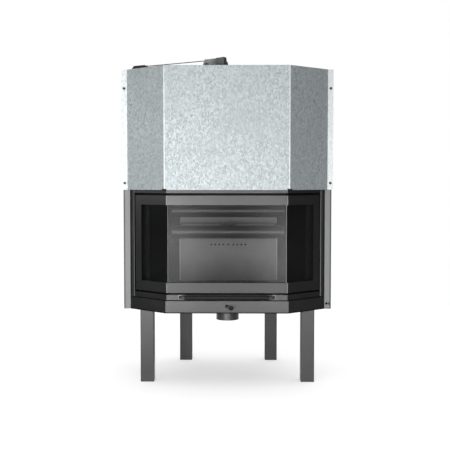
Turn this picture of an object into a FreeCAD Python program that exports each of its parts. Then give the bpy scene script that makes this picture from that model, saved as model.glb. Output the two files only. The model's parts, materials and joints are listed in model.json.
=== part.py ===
import FreeCAD, Part
import math
import os
import Sketcher

# Boiler fireplace with a three-sided glazed door that lifts behind a galvanised hood.
# +Z is up, -Y is the front, and the origin is on the floor at the middle of the outer box.
# Places in plan are measured back from the outer face of the base's front panel.

# Driving sizes: millimetres, degrees and counts
SIZES = {
    # Plan of the front: a flat middle between two angled facets
    "opening_half": 509,
    "facet_reach": 197,
    "facet_angle": 40,
    # Uprights: folded channels with a door track on the inner side
    "upright_width": 34,
    "upright_depth": 65,
    "upright_sheet": 3,
    "track_setback": 13,
    "track_clear": 36,
    "track_reach": 16,
    "track_sheet": 2,
    # Base box under the fire
    "base_bottom": 380,
    "base_height": 62.6,
    "base_sheet": 3,
    "floor_thickness": 4,
    "ledge_depth": 47,
    # Legs of square tube
    "leg_width": 70,
    "leg_wall": 3,
    "leg_plate": 6,
    "leg_edge_radius": 4,
    "front_leg_inset": 90,
    "front_leg_setback": 39.3,
    "rear_leg_inset": 33,
    # Door carrier: the sliding outer frame
    "door_setback": 14,
    "door_gap": 3,
    "carrier_low_rail": 27,
    "carrier_top_rail": 30,
    "carrier_sheet": 3,
    "carrier_depth": 22,
    "carrier_side_gap": 19,
    "stile_face": 12,
    # Door leaf: the glazed inner frame
    "leaf_gap_low": 9.5,
    "leaf_gap_top": 12.6,
    "leaf_height": 494.5,
    "leaf_side_gap": 10,
    "leaf_low_rail": 51,
    "leaf_top_rail": 48,
    "leaf_stile": 33.7,
    "leaf_sheet": 3,
    "leaf_return": 2.5,
    "reveal_depth": 11,
    "gasket_thickness": 2,
    "pane_thickness": 4,
    "pane_lap": 12,
    "pane_joint": 1,
    "leaf_pin_radius": 4,
    "leaf_pin_inset": 25,
    # Handle
    "handle_inset": 74,
    "handle_reach": 36,
    "handle_rise": 16.5,
    "handle_rod_radius": 6,
    "handle_bend": 18,
    "handle_foot_radius": 12,
    "handle_foot": 3,
    "sleeve_inset": 24,
    "sleeve_radius": 10.5,
    # Guide shoes on the carrier
    "shoe_height": 60,
    "shoe_inset": 60,
    "shoe_play": 0.5,
    "shoe_end_play": 1.5,
    # Galvanised hood
    "hood_out": 9.3,
    "hood_sheet": 1.5,
    "hood_height": 622,
    "hood_show": 15.8,
    "flange_overhang": 7,
    "fold_notch": 26,
    "fold_notch_height": 6,
    "top_plate_drop": 45,
    "top_plate_sheet": 4,
    "top_plate_lip": 40,
    "cable_hole_radius": 12,
    # Boiler body: a double wall with water between
    "boiler_plate": 5,
    "water_gap": 50,
    "body_depth": 735,
    "boiler_top": 1290,
    "portal_width": 94,
    "firebox_back_half": 282,
    "hearth_level": 470,
    "hearth_sheet": 5,
    "hearth_setback": 44,
    "hearth_side_gap": 10,
    "apron_sheet": 3,
    "lintel_level": 985,
    "lintel_sheet": 3,
    "lintel_setback": 42,
    "lintel_lip": 30,
    "seal_depth": 5.5,
    "seal_height": 12,
    "seal_rise": 9,
    # Water tubes across the fire and the baffle on them
    "tube_radius": 38,
    "tube_wall": 4,
    "tube_back": 90,
    "tube_first": 759,
    "tube_pitch": 122,
    "tube_row_pitch": 115,
    "baffle_sheet": 5,
    "baffle_half": 270,
    "baffle_front": 25,
    "baffle_play": 1,
    "lug_half": 36,
    "lug_height": 8,
    # Perforated air plate at the back of the fire
    "air_plate_sheet": 3,
    "air_plate_gap": 12,
    "air_plate_top": 722,
    "air_plate_play": 1,
    "air_hole_radius": 5.5,
    "air_hole_level": 680,
    "air_hole_middle": 29.5,
    "air_hole_pitch": 23.4,
    # Flue collar and water sockets
    "flue_radius": 100,
    "flue_wall": 3,
    "flue_height": 130,
    "flue_back": 470,
    "weld_gap": 0.3,
    "socket_radius": 26,
    "socket_bore": 19.5,
    "socket_length": 40,
    "socket_x": 190,
    "flow_back": 640,
    "return_level": 560,
    "well_radius": 14,
    "well_bore": 9.3,
    "well_level": 1180,
    # Grate and ash pan
    "grate_half": 155,
    "grate_depth": 200,
    "grate_front": 325,
    "grate_thickness": 14,
    "grate_lap": 12,
    "grate_bar": 16,
    "grate_slot": 12,
    "pan_half": 135,
    "pan_depth": 165,
    "pan_front": 342,
    "pan_height": 62,
    "pan_sheet": 1.5,
    # Air inlet spigot with its turning disc
    "spigot_radius": 60,
    "spigot_wall": 2.5,
    "spigot_step": 3,
    "spigot_entry": 66,
    "throat_radius": 47,
    "throat_height": 32,
    "spigot_back": 250,
    "spigot_bottom": 312,
    "spigot_top": 450,
    "spigot_flange": 15,
    "spigot_flange_sheet": 3,
    "spindle_radius": 5,
    "spindle_level": 416,
    "spindle_overhang": 10,
    "spindle_hole_radius": 9,
    "running_fit": 0.08,
    "disc_play": 1.5,
    "disc_thickness": 2,
    "lever_angle": 13,
    "lever_arm": 21,
    "lever_bend": 9,
    "lever_standoff": 14,
    "lever_reach": 50,
    "knob_radius": 11,
    "knob_socket": 10,
    "knob_fit": 0.05,
    # Cable lift: pulleys, cable and counterweight
    "door_drop_back": 30,
    "guide_inset": 5,
    "guide_standoff": 70.7,
    "pulley_radius": 35,
    "cable_radius": 2.25,
    "cable_play": 0.3,
    "pulley_rim": 4,
    "pulley_width": 14,
    "pulley_hub_side": 2,
    "axle_radius": 6,
    "bolt_head": 7,
    "bolt_head_radius": 11,
    "cheek_sheet": 3,
    "cheek_top": 41,
    "bracket_base": 4,
    "bracket_base_half": 24,
    "centre_cheek_front": 25,
    "centre_cheek_back": 92,
    "centre_cheek_foot": 130,
    "centre_base_front": 50,
    "guard_front": 22,
    "guard_back": 24,
    "guard_low": 2,
    "guard_high": 4.5,
    "guard_skirt_back": 46,
    "guard_skirt": 2,
    "spacer_back": 78,
    "spacer_level": 10,
    "left_cheek_front": 45,
    "left_cheek_back": 44,
    "left_base_back": 68,
    "left_corner_radius": 14,
    "lift_plate_half": 45,
    "lift_plate_sheet": 4,
    "lift_boss_radius": 9,
    "lift_boss": 25,
    "weight_side": 60,
    "weight_length": 650,
    "weight_top": 1540,
    "guide_side": 70,
    "guide_wall": 3,
    "guide_slot": 30,
    "guide_bottom": 385,
    "guide_arm_half": 15,
    "guide_arm_sheet": 6,
    "guide_arm_low": 560,
    "guide_arm_high": 1240,
    # Bolts
    "leg_bolt_radius": 6,
    "screw_radius": 4,
    "screw_head_radius": 7.5,
    "screw_head": 5,
    "screw_tail": 12,
    "screw_inset": 7,
    "screw_low": 34,
    "screw_high": 524,
    "post_bolt_inset": 26,
    "post_hole_inset": 11,
    "post_hole_radius": 6,
    "post_bolt_level": 408,
    "bolt_play": 0.3,
    # How far cutting shapes run past what they cut
    "overrun": 2,
}

doc = FreeCAD.newDocument("boiler_fireplace")
sheet = doc.addObject("Spreadsheet::Sheet", "sizes")
for row, (alias, number) in enumerate(SIZES.items(), start=1):
    sheet.set(f"A{row}", alias)
    sheet.set(f"B{row}", str(number))
    sheet.setAlias(f"B{row}", alias)
doc.recompute()

vector = FreeCAD.Vector


class Size:
    """A size as an expression on the sheet's cells, with its present value."""

    def __init__(self, text, value):
        self.text = text
        self.value = value

    def __add__(self, other):
        other = as_size(other)
        return Size(f"({self.text} + {other.text})", self.value + other.value)

    def __sub__(self, other):
        other = as_size(other)
        return Size(f"({self.text} - {other.text})", self.value - other.value)

    def __mul__(self, other):
        other = as_size(other)
        return Size(f"({self.text} * {other.text})", self.value * other.value)

    def __truediv__(self, other):
        other = as_size(other)
        return Size(f"({self.text} / {other.text})", self.value / other.value)

    def __neg__(self):
        return Size(f"(-{self.text})", -self.value)


def as_size(number):
    if isinstance(number, Size):
        return number
    return Size(repr(number), number)


def cell(alias):
    return Size(f"sizes.{alias}", float(SIZES[alias]))


def tangent(angle):
    return Size(f"tan({angle.text})", math.tan(math.radians(angle.value)))


def square_root(number):
    return Size(f"sqrt({number.text})", math.sqrt(number.value))


def arctangent(rise, run):
    degrees = math.degrees(math.atan2(rise.value, run.value))
    return Size(f"atan2({rise.text}; {run.text})", degrees)


ZERO = as_size(0)
OVERRUN = cell("overrun")

# Planes and levels worked out from the driving sizes
opening_half = cell("opening_half")
facet_angle = cell("facet_angle")
front_half = opening_half - cell("facet_reach")
base_bottom = cell("base_bottom")
door_setback = cell("door_setback")
prism_depth = cell("facet_reach") * tangent(facet_angle)
body_front = prism_depth + cell("upright_depth")
chamber_front = body_front + cell("boiler_plate")
body_depth = cell("body_depth")
front_y = (cell("lever_reach") - body_depth - cell("socket_length")) / 2
base_top = base_bottom + cell("base_height")
floor_top = base_bottom + cell("floor_thickness")
carrier_bottom = base_top + cell("door_gap")
carrier_low_top = carrier_bottom + cell("carrier_low_rail")
leaf_bottom = carrier_low_top + cell("leaf_gap_low")
leaf_top = leaf_bottom + cell("leaf_height")
window_bottom = leaf_bottom + cell("leaf_low_rail")
window_top = leaf_top - cell("leaf_top_rail")
carrier_top_low = leaf_top + cell("leaf_gap_top")
carrier_top = carrier_top_low + cell("carrier_top_rail")
hood_bottom = carrier_top_low + cell("hood_show")
hood_top = hood_bottom + cell("hood_height")
top_plate_top = hood_top - cell("top_plate_drop")
upright_top = top_plate_top - cell("top_plate_sheet")
upright_outer = opening_half + cell("upright_width")
firebox_front_half = opening_half - cell("portal_width")
carrier_half = opening_half - cell("carrier_side_gap")
leaf_half = carrier_half - cell("leaf_side_gap")
window_half = leaf_half - cell("leaf_stile")
hearth_level = cell("hearth_level")
hearth_low = hearth_level - cell("hearth_sheet")
boiler_top = cell("boiler_top")

nodes = {}


def keep(name, shape_object):
    """Make an object a sub-part under its own name."""
    shape_object.Label = name
    nodes[name] = shape_object


def bind(shape_object, prop, size):
    shape_object.setExpression(prop, as_size(size).text)


def place(shape_object, x, y, z):
    """Set an object's place, measured back from the front panel."""
    bind(shape_object, "Placement.Base.x", x)
    bind(shape_object, "Placement.Base.y", front_y + y)
    bind(shape_object, "Placement.Base.z", z)


def block(name, x, y, z):
    """A rectangular solid between two values on each axis."""
    box = doc.addObject("Part::Box", name)
    bind(box, "Length", as_size(x[1]) - x[0])
    bind(box, "Width", as_size(y[1]) - y[0])
    bind(box, "Height", as_size(z[1]) - z[0])
    place(box, x[0], y[0], z[0])
    return box


TURNS = {
    "x": FreeCAD.Rotation(vector(0, 1, 0), 90),
    "y": FreeCAD.Rotation(vector(1, 0, 0), -90),
    "z": FreeCAD.Rotation(),
}


def rod(name, axis, start, length, radius):
    """A round solid that runs from a start point along x, y or z."""
    cylinder = doc.addObject("Part::Cylinder", name)
    cylinder.Placement = FreeCAD.Placement(vector(), TURNS[axis])
    bind(cylinder, "Radius", radius)
    bind(cylinder, "Height", length)
    place(cylinder, *start)
    return cylinder


def hexagon(name, axis, start, length, radius):
    """A hexagonal bolt head, along x, y or z."""
    prism_solid = doc.addObject("Part::Prism", name)
    prism_solid.Polygon = 6
    prism_solid.Placement = FreeCAD.Placement(vector(), TURNS[axis])
    bind(prism_solid, "Circumradius", radius)
    bind(prism_solid, "Height", length)
    place(prism_solid, *start)
    return prism_solid


def join(name, pieces):
    fused = doc.addObject("Part::MultiFuse", name)
    fused.Shapes = pieces
    fused.Refine = True
    return fused


def cut(name, base, tools):
    result = doc.addObject("Part::Cut", name)
    result.Base = base
    result.Tool = tools[0] if len(tools) == 1 else join(f"{name}_cuts", tools)
    return result


def group(name, pieces):
    compound = doc.addObject("Part::Compound", name)
    compound.Links = pieces
    return compound


def tube(name, axis, start, length, radius, wall):
    outer = rod(f"{name}_outer", axis, start, length, radius)
    inner_start = list(start)
    index = "xyz".index(axis)
    inner_start[index] = as_size(start[index]) - OVERRUN
    inner = rod(f"{name}_inner", axis, inner_start, length + OVERRUN * 2, radius - wall)
    return cut(name, outer, [inner])


def origin_plane(body, role):
    return next(plane for plane in body.Origin.OriginFeatures if plane.Role == role)


def new_sketch(body, role, offset=None):
    sketch = body.newObject("Sketcher::SketchObject", f"{body.Name}_outline")
    sketch.AttachmentSupport = (origin_plane(body, role), [""])
    sketch.MapMode = "FlatFace"
    if offset is not None:
        bind(sketch, "AttachmentOffset.Base.z", offset)
    return sketch


def pin_point(sketch, edge, end, point):
    """Tie one end of an edge to a place in the sketch."""
    for kind, size in zip(("DistanceX", "DistanceY"), point):
        size = as_size(size)
        number = sketch.addConstraint(Sketcher.Constraint(kind, -1, 1, edge, end, size.value))
        sketch.setExpression(f"Constraints[{number}]", size.text)


def draw_outline(sketch, points):
    """A closed outline of straight edges through points written in sizes."""
    corners = [vector(as_size(x).value, as_size(y).value, 0) for x, y in points]
    count = len(corners)
    for index in range(count):
        following = (index + 1) % count
        sketch.addGeometry(Part.LineSegment(corners[index], corners[following]), False)
    for index in range(count):
        joint = Sketcher.Constraint("Coincident", index, 2, (index + 1) % count, 1)
        sketch.addConstraint(joint)
    for index, point in enumerate(points):
        pin_point(sketch, index, 1, point)


def draw_circle(sketch, centre, radius):
    middle = vector(as_size(centre[0]).value, as_size(centre[1]).value, 0)
    index = sketch.addGeometry(Part.Circle(middle, vector(0, 0, 1), radius.value), False)
    pin_point(sketch, index, 3, centre)
    number = sketch.addConstraint(Sketcher.Constraint("Radius", index, radius.value))
    sketch.setExpression(f"Constraints[{number}]", radius.text)


def draw_path(sketch, stops, radius):
    """A path of straight runs, and quarter turns named by their centre and angles."""
    count = 0
    for stop in stops:
        if stop[0] == "line":
            start, end = stop[1], stop[2]
            ends = [vector(as_size(x).value, as_size(y).value, 0) for x, y in (start, end)]
            sketch.addGeometry(Part.LineSegment(*ends), False)
            pin_point(sketch, count, 1, start)
            pin_point(sketch, count, 2, end)
        else:
            centre, low, high = stop[1:]
            middle = vector(as_size(centre[0]).value, as_size(centre[1]).value, 0)
            circle = Part.Circle(middle, vector(0, 0, 1), radius.value)
            arc = Part.ArcOfCircle(circle, math.radians(low), math.radians(high))
            sketch.addGeometry(arc, False)
            pin_point(sketch, count, 3, centre)
            number = sketch.addConstraint(Sketcher.Constraint("Radius", count, radius.value))
            sketch.setExpression(f"Constraints[{number}]", radius.text)
        count += 1


def add_pad(body, sketch, length, symmetric=False):
    pad = body.newObject("PartDesign::Pad", f"{body.Name}_pad")
    pad.Profile = sketch
    bind(pad, "Length", length)
    if symmetric:
        pad.SideType = "Symmetric"
    return pad


def plan_body(name, layers):
    """A body of upright walls and flat plates: plan outlines with their low and high levels."""
    body = doc.addObject("PartDesign::Body", name)
    bind(body, "Placement.Base.y", front_y)
    for points, low, high in layers:
        sketch = new_sketch(body, "XY_Plane", as_size(low))
        draw_outline(sketch, points)
        add_pad(body, sketch, as_size(high) - low)
    return body


def mirrored(points):
    """The same outline on the other side of the middle."""
    return [(-as_size(x), y) for x, y in reversed(points)]


def fold(depth):
    """Corner between the flat middle and a facet, at a depth behind the panel."""
    return (front_half - depth * tangent(facet_angle / 2), depth)


def facet_at_x(depth, x):
    corner = fold(depth)
    return (as_size(x), depth + (x - corner[0]) * tangent(facet_angle))


def facet_at_y(depth, y):
    corner = fold(depth)
    return (corner[0] + (y - depth) / tangent(facet_angle), as_size(y))


def front_strip(outer, inner, half):
    """A three-sided strip between two depths, as wide as half each way."""
    right = [fold(outer), facet_at_x(outer, half), facet_at_x(inner, half), fold(inner)]
    left = mirrored(right)
    return left[2:] + right + left[:2]


# Base box: the floor plate and the panel with its ledge
leg_width = cell("leg_width")
front_leg_x = opening_half - cell("front_leg_inset")
front_leg_y = prism_depth - cell("front_leg_setback")
rear_leg_x = cell("firebox_back_half") - cell("rear_leg_inset")
rear_leg_y = body_depth - leg_width
leg_places = {
    "front_left_leg": (-front_leg_x, front_leg_y),
    "front_right_leg": (front_leg_x, front_leg_y),
    "rear_left_leg": (-rear_leg_x, rear_leg_y),
    "rear_right_leg": (rear_leg_x, rear_leg_y),
}
boiler_plate = cell("boiler_plate")
jacket_depth = boiler_plate + cell("water_gap")
back_wall_front = body_depth - boiler_plate - jacket_depth
jacket_back_front = body_depth - boiler_plate
wall_slope = (firebox_front_half - cell("firebox_back_half")) / (back_wall_front - chamber_front)
wall_stretch = square_root(wall_slope * wall_slope + 1)


def wall_x(y, depth):
    """Half width of the firebox at a place y, on a face that lies depth outside its inner face."""
    return firebox_front_half - (y - chamber_front) * wall_slope + depth * wall_stretch


jacket_outer = jacket_depth + boiler_plate
base_sheet = cell("base_sheet")
spigot_radius = cell("spigot_radius")
spigot_pipe_radius = spigot_radius - cell("spigot_step")
spigot_back = cell("spigot_back")
spindle_radius = cell("spindle_radius")
spindle_level = cell("spindle_level")
bolt_play = cell("bolt_play")
leg_bolt_radius = cell("leg_bolt_radius")

floor_half = [
    fold(base_sheet),
    facet_at_x(base_sheet, opening_half),
    (opening_half, body_front),
    (wall_x(body_front, jacket_outer), body_front),
    (wall_x(body_depth, jacket_outer), body_depth),
]
floor_plan = mirrored(floor_half) + floor_half
floor_blank = plan_body("floor_blank", [(floor_plan, base_bottom, floor_top)])
floor_cuts = [
    rod("spigot_cut", "z", (ZERO, spigot_back, base_bottom - OVERRUN),
        cell("floor_thickness") + OVERRUN * 2, spigot_pipe_radius + cell("weld_gap")),
]
for leg_name, (leg_x, leg_y) in leg_places.items():
    middle = (leg_x, leg_y + leg_width / 2, base_bottom - OVERRUN)
    floor_cuts.append(rod(f"{leg_name}_bolt_cut", "z", middle,
                          cell("floor_thickness") + OVERRUN * 2, leg_bolt_radius + bolt_play))
keep("base_floor_plate", cut("floor_holed", floor_blank, floor_cuts))

panel_blank = plan_body("panel_blank", [
    (front_strip(ZERO, base_sheet, opening_half), base_bottom, base_top),
    (front_strip(base_sheet, cell("ledge_depth"), opening_half), base_top - base_sheet, base_top),
])
panel_cut = rod("panel_cut", "y", (ZERO, -OVERRUN, spindle_level),
                base_sheet + OVERRUN * 2, cell("spindle_hole_radius"))
keep("base_front_panel", cut("panel_holed", panel_blank, [panel_cut]))

# Legs of square tube, closed at the top and the foot by welded plates
leg_plate = cell("leg_plate")
leg_wall = cell("leg_wall")
leg_edge_radius = cell("leg_edge_radius")
for leg_name, (leg_x, leg_y) in leg_places.items():
    half = leg_width / 2
    leg_back = leg_y + leg_width
    pieces = [
        block(f"{leg_name}_wide", (leg_x - half, leg_x + half),
              (leg_y + leg_edge_radius, leg_back - leg_edge_radius), (ZERO, base_bottom)),
        block(f"{leg_name}_deep", (leg_x - half + leg_edge_radius, leg_x + half - leg_edge_radius),
              (leg_y, leg_back), (ZERO, base_bottom)),
    ]
    for side, edge_x in (("left", leg_x - half + leg_edge_radius), ("right", leg_x + half - leg_edge_radius)):
        for end, edge_y in (("front", leg_y + leg_edge_radius), ("back", leg_back - leg_edge_radius)):
            pieces.append(rod(f"{leg_name}_{side}_{end}", "z", (edge_x, edge_y, ZERO), base_bottom,
                              leg_edge_radius))
    rounded = join(f"{leg_name}_rounded", pieces)
    hollow = block(f"{leg_name}_hollow",
                   (leg_x - half + leg_wall, leg_x + half - leg_wall),
                   (leg_y + leg_wall, leg_y + leg_width - leg_wall),
                   (leg_plate, base_bottom - leg_plate))
    bolt_hole = rod(f"{leg_name}_hole", "z", (leg_x, leg_y + half, base_bottom - leg_plate - OVERRUN),
                    leg_plate + OVERRUN * 2, leg_bolt_radius + bolt_play)
    keep(leg_name, cut(f"{leg_name}_tube", rounded, [hollow, bolt_hole]))

# Uprights: channels open to the back, with two track flanges on the inner side
upright_sheet = cell("upright_sheet")
track_front = prism_depth + cell("track_setback") + cell("track_sheet")
track_back = track_front + cell("track_clear")
track_end = opening_half - cell("track_reach")
channel_plan = [
    (opening_half, prism_depth),
    (upright_outer, prism_depth),
    (upright_outer, body_front),
    (upright_outer - upright_sheet, body_front),
    (upright_outer - upright_sheet, prism_depth + upright_sheet),
    (opening_half + upright_sheet, prism_depth + upright_sheet),
    (opening_half + upright_sheet, body_front),
    (opening_half, body_front),
]


def flange_plan(low, high):
    return [(track_end, low), (opening_half, low), (opening_half, high), (track_end, high)]


track_plans = [
    flange_plan(track_front - cell("track_sheet"), track_front),
    flange_plan(track_back, track_back + cell("track_sheet")),
]
screw_radius = cell("screw_radius")
screw_x = upright_outer - cell("screw_inset")
post_bolt_x = opening_half + cell("post_bolt_inset")
screw_levels = [hood_bottom + cell("screw_low"), hood_bottom + cell("screw_high")]
for side, turn in (("right", list), ("left", mirrored)):
    sign = 1 if side == "right" else -1
    layers = [(turn(channel_plan), base_bottom, upright_top)]
    layers += [(turn(plan), base_top, upright_top) for plan in track_plans]
    blank = plan_body(f"{side}_upright_blank", layers)
    holes = []
    for level in screw_levels:
        start = (screw_x * sign, prism_depth - OVERRUN, level)
        holes.append(rod(f"{side}_upright_hole", "y", start, upright_sheet + OVERRUN * 2,
                         screw_radius + bolt_play))
    if side == "right":
        start = (post_bolt_x, prism_depth - OVERRUN, cell("post_bolt_level"))
        holes.append(rod("post_bolt_hole", "y", start, upright_sheet + OVERRUN * 2,
                         screw_radius + bolt_play))
        start = (opening_half + cell("post_hole_inset"), prism_depth - OVERRUN, cell("post_bolt_level"))
        holes.append(rod("post_hole", "y", start, upright_sheet + OVERRUN * 2, cell("post_hole_radius")))
    keep(f"{side}_upright", cut(f"{side}_upright_holed", blank, holes))

# Hood: one folded sheet with flanges against the uprights
hood_sheet = cell("hood_sheet")
hood_face = -cell("hood_out")
hood_back = hood_face + hood_sheet
flange_half = upright_outer + cell("flange_overhang")
flange_front = prism_depth - hood_sheet
hood_half = [
    fold(hood_face),
    facet_at_y(hood_face, flange_front),
    (flange_half, flange_front),
    (flange_half, prism_depth),
    facet_at_y(hood_back, prism_depth),
    fold(hood_back),
]
hood_left = mirrored(hood_half)
hood_plan = hood_left[3:] + hood_half + hood_left[:3]
hood_blank = plan_body("hood_blank", [(hood_plan, hood_bottom, hood_top)])
hood_cuts = []
notch_half = cell("fold_notch") / 2
for sign in (-1, 1):
    middle = fold(hood_face)[0] * sign
    hood_cuts.append(block("fold_notch", (middle - notch_half, middle + notch_half),
                           (hood_face - OVERRUN, hood_face + cell("fold_notch")),
                           (hood_bottom - OVERRUN, hood_bottom + cell("fold_notch_height"))))
    for level in screw_levels:
        start = (screw_x * sign, flange_front - OVERRUN, level)
        hood_cuts.append(rod("hood_hole", "y", start, hood_sheet + OVERRUN * 2, screw_radius + bolt_play))
keep("hood_panel", cut("hood_holed", hood_blank, hood_cuts))

# Plate inside the hood that carries the middle pulley
door_drop = cell("door_drop_back")
top_half = [
    fold(hood_back),
    facet_at_y(hood_back, prism_depth),
    (upright_outer, prism_depth),
    (upright_outer, body_front),
]
lip_sheet = cell("top_plate_sheet")
lip_back = body_front
top_lip = [
    (-opening_half, lip_back - lip_sheet),
    (opening_half, lip_back - lip_sheet),
    (opening_half, lip_back),
    (-opening_half, lip_back),
]
top_blank = plan_body("top_blank", [
    (mirrored(top_half) + top_half, upright_top, top_plate_top),
    (top_lip, upright_top - cell("top_plate_lip"), upright_top),
])
top_hole = rod("top_hole", "z", (ZERO, door_drop, upright_top - OVERRUN),
               cell("top_plate_sheet") + OVERRUN * 2, cell("cable_hole_radius"))
keep("hood_top_plate", cut("top_holed", top_blank, [top_hole]))

# Boiler body: inner firebox walls, outer jacket and the plates that close them
tube_radius = cell("tube_radius")
tube_wall = cell("tube_wall")
tube_line = back_wall_front - cell("tube_back")
tube_places = []
for tier in range(4):
    tube_places.append((tube_line, cell("tube_first") + cell("tube_pitch") * tier))
for tier in (2, 3):
    tube_places.append((tube_line - cell("tube_row_pitch"), cell("tube_first") + cell("tube_pitch") * tier))


def slanted_wall(depth):
    """Plan of the right wall whose inner face lies depth outside the firebox's inner face."""
    end = back_wall_front if depth.value == 0 else jacket_back_front
    return [
        (wall_x(chamber_front, depth), chamber_front),
        (wall_x(chamber_front, depth + boiler_plate), chamber_front),
        (wall_x(end, depth + boiler_plate), end),
        (wall_x(end, depth), end),
    ]


def tube_cut_rods(name, start_x, length):
    return [rod(name, "x", (start_x, y, z), length, tube_radius - tube_wall) for y, z in tube_places]


wall_reach = firebox_front_half + jacket_outer
for side, turn in (("right", list), ("left", mirrored)):
    inner = plan_body(f"{side}_wall_blank", [(turn(slanted_wall(ZERO)), hearth_level, boiler_top)])
    start_x = ZERO if side == "right" else -wall_reach
    keep(f"firebox_{side}_wall", cut(f"{side}_wall_holed", inner,
                                     tube_cut_rods(f"{side}_wall_cut", start_x, wall_reach)))
    keep(f"jacket_{side}_plate", plan_body(f"jacket_{side}",
                                           [(turn(slanted_wall(jacket_depth)), floor_top, boiler_top)]))

back_half = wall_x(back_wall_front, boiler_plate)
keep("firebox_back_wall", block("back_wall", (-back_half, back_half),
                                (back_wall_front, back_wall_front + boiler_plate),
                                (hearth_level, boiler_top)))
jacket_back_half = wall_x(jacket_back_front, jacket_outer)
jacket_back = block("jacket_back", (-jacket_back_half, jacket_back_half), (jacket_back_front, body_depth),
                    (floor_top, boiler_top))
socket_x = cell("socket_x")
socket_bore = cell("socket_bore")
well_bore = cell("well_bore")
return_level = cell("return_level")
well_level = cell("well_level")
through_start = jacket_back_front - OVERRUN
through_length = boiler_plate + OVERRUN * 2
back_cuts = [
    rod("return_cut", "y", (socket_x, through_start, return_level), through_length, socket_bore + bolt_play),
    rod("well_cut", "y", (-socket_x, through_start, well_level), through_length, well_bore + bolt_play),
]
keep("jacket_back_plate", cut("jacket_back_holed", jacket_back, back_cuts))

top_edge = [
    (wall_x(body_front, jacket_outer), body_front),
    (wall_x(body_depth, jacket_outer), body_depth),
]
top_sheet = boiler_top + boiler_plate
flue_radius = cell("flue_radius")
flue_outer = flue_radius + cell("flue_wall")
flue_back = cell("flue_back")
flow_back = cell("flow_back")
cover_blank = plan_body("cover_blank", [(mirrored(top_edge) + top_edge, boiler_top, top_sheet)])
cover_cuts = [
    rod("flue_cut", "z", (ZERO, flue_back, boiler_top - OVERRUN), through_length,
        flue_outer + cell("weld_gap")),
    rod("flow_cut", "z", (socket_x, flow_back, boiler_top - OVERRUN), through_length,
        socket_bore + bolt_play),
]
keep("boiler_top_plate", cut("cover_holed", cover_blank, cover_cuts))

front_blank = block("front_plate_blank", (-upright_outer, upright_outer), (body_front, chamber_front),
                    (floor_top, boiler_top))
lintel_level = cell("lintel_level")
front_gap = block("front_plate_gap",
                  (-firebox_front_half, firebox_front_half),
                  (body_front - OVERRUN, chamber_front + OVERRUN),
                  (floor_top - OVERRUN, lintel_level))
keep("boiler_front_plate", cut("front_plate", front_blank, [front_gap]))

# Hearth plate with a folded apron that stands on the base's ledge
hearth_setback = cell("hearth_setback")
hearth_half_width = leaf_half - cell("hearth_side_gap")
hearth_side = [
    fold(hearth_setback),
    facet_at_x(hearth_setback, hearth_half_width),
    (hearth_half_width, body_front),
    (firebox_front_half, body_front),
    (firebox_front_half, chamber_front),
    (wall_x(chamber_front, jacket_depth), chamber_front),
    (wall_x(jacket_back_front, jacket_depth), jacket_back_front),
]
hearth_blank = plan_body("hearth_blank", [
    (mirrored(hearth_side) + hearth_side, hearth_low, hearth_level),
    (front_strip(hearth_setback, hearth_setback + cell("apron_sheet"), hearth_half_width),
     base_top, hearth_low),
])
grate_half = cell("grate_half")
grate_front = cell("grate_front")
grate_back = grate_front + cell("grate_depth")
grate_lap = cell("grate_lap")
hearth_gap = block("hearth_gap", (-(grate_half - grate_lap), grate_half - grate_lap),
                   (grate_front + grate_lap, grate_back - grate_lap),
                   (hearth_low - OVERRUN, hearth_level + OVERRUN))
keep("hearth_plate", cut("hearth_holed", hearth_blank, [hearth_gap]))

# Grate of bars, cut from one casting
grate_top = hearth_level + cell("grate_thickness")
grate_blank = block("grate_blank", (-grate_half, grate_half), (grate_front, grate_back),
                    (hearth_level, grate_top))
slot_pitch = cell("grate_bar") + cell("grate_slot")
slot_count = int((grate_half.value - grate_lap.value) // slot_pitch.value)
grate_cuts = []
for number in range(-slot_count, slot_count + 1):
    middle = slot_pitch * number
    slot_half = cell("grate_slot") / 2
    if abs(middle.value) + slot_half.value < grate_half.value - grate_lap.value:
        grate_cuts.append(block("grate_slot_cut", (middle - slot_half, middle + slot_half),
                                (grate_front + grate_lap * 2, grate_back - grate_lap * 2),
                                (hearth_level - OVERRUN, grate_top + OVERRUN)))
keep("fire_grate", cut("grate", grate_blank, grate_cuts))

# Ash pan on the floor of the base
pan_half = cell("pan_half")
pan_front = cell("pan_front")
pan_back = pan_front + cell("pan_depth")
pan_sheet = cell("pan_sheet")
pan_top = floor_top + cell("pan_height")
pan_outer = block("pan_outer", (-pan_half, pan_half), (pan_front, pan_back), (floor_top, pan_top))
pan_inner = block("pan_inner", (-(pan_half - pan_sheet), pan_half - pan_sheet),
                  (pan_front + pan_sheet, pan_back - pan_sheet),
                  (floor_top + pan_sheet, pan_top + OVERRUN))
keep("ash_pan", cut("pan", pan_outer, [pan_inner]))

# Lintel that closes the prism above the door, and its seal
lintel_setback = cell("lintel_setback")
lintel_sheet = cell("lintel_sheet")
lintel_side = [
    fold(lintel_setback),
    facet_at_x(lintel_setback, hearth_half_width),
    (hearth_half_width, body_front),
]
lintel_low = lintel_level - cell("lintel_lip")
keep("lintel_plate", plan_body("lintel", [
    (mirrored(lintel_side) + lintel_side, lintel_level, lintel_level + lintel_sheet),
    (front_strip(lintel_setback, lintel_setback + lintel_sheet, hearth_half_width), lintel_low, lintel_level),
]))
seal_low = lintel_low + cell("seal_rise")
keep("lintel_seal", plan_body("seal", [
    (front_strip(lintel_setback - cell("seal_depth"), lintel_setback, hearth_half_width),
     seal_low, seal_low + cell("seal_height")),
]))

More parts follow.
